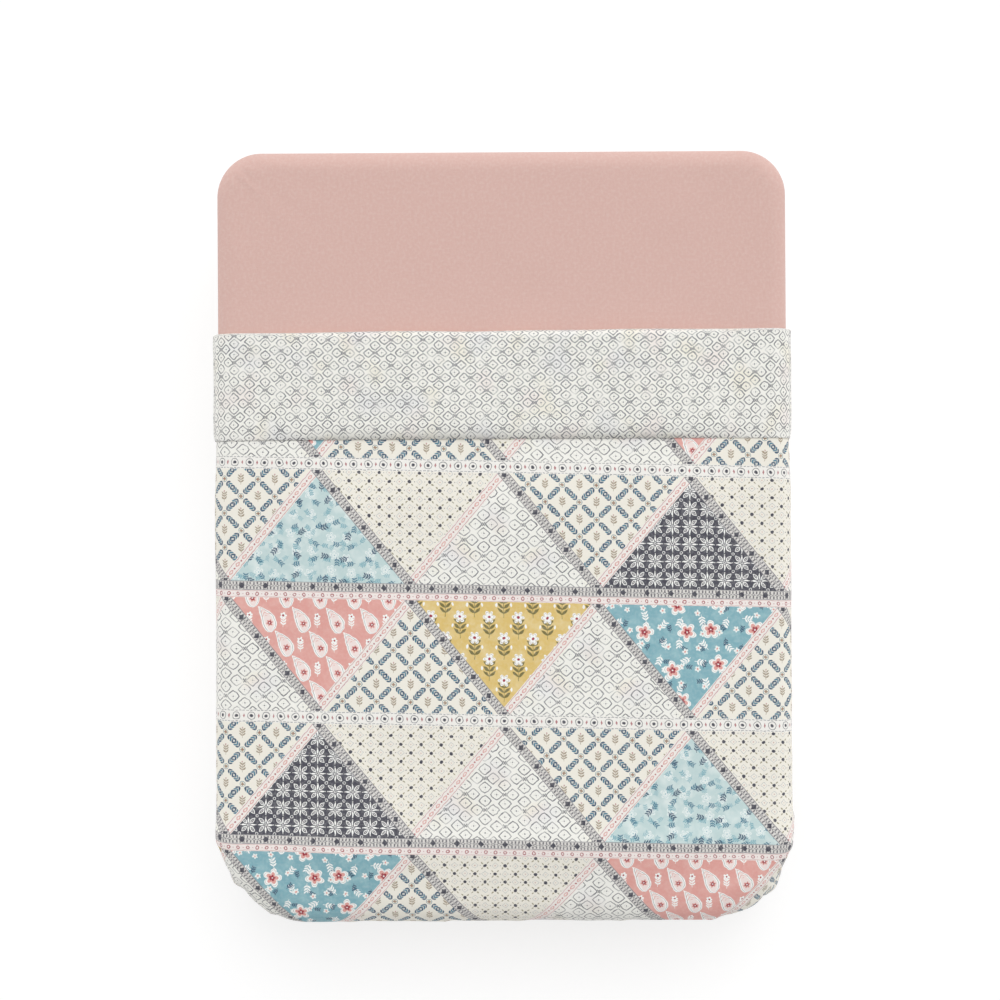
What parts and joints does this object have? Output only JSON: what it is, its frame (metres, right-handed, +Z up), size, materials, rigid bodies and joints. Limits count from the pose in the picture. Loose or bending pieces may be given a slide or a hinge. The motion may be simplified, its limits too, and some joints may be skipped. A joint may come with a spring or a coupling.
{
  "type": "duvet cover on a bed",
  "caption": "Filled patchwork-print duvet cover lying on a plain bed, hanging over the foot and sides and turned back at the head to show its trellis reverse.",
  "frame": {"origin": "on the floor, below the middle of the bed", "axes": "+X across the bed, +Y along it to the head, +Z up"},
  "size_m": [1.6173, 2.0967, 0.5773],
  "materials": {
    "cover_cotton": "matte printed cotton",
    "sheet_cotton": "matte plain-woven cotton",
    "base_fabric": "matte woven upholstery"
  },
  "bodies": {
    "root": {"duvet_cover": "cover_cotton", "mattress": "sheet_cotton", "bed_base": "base_fabric"}
  },
  "joints": []
}
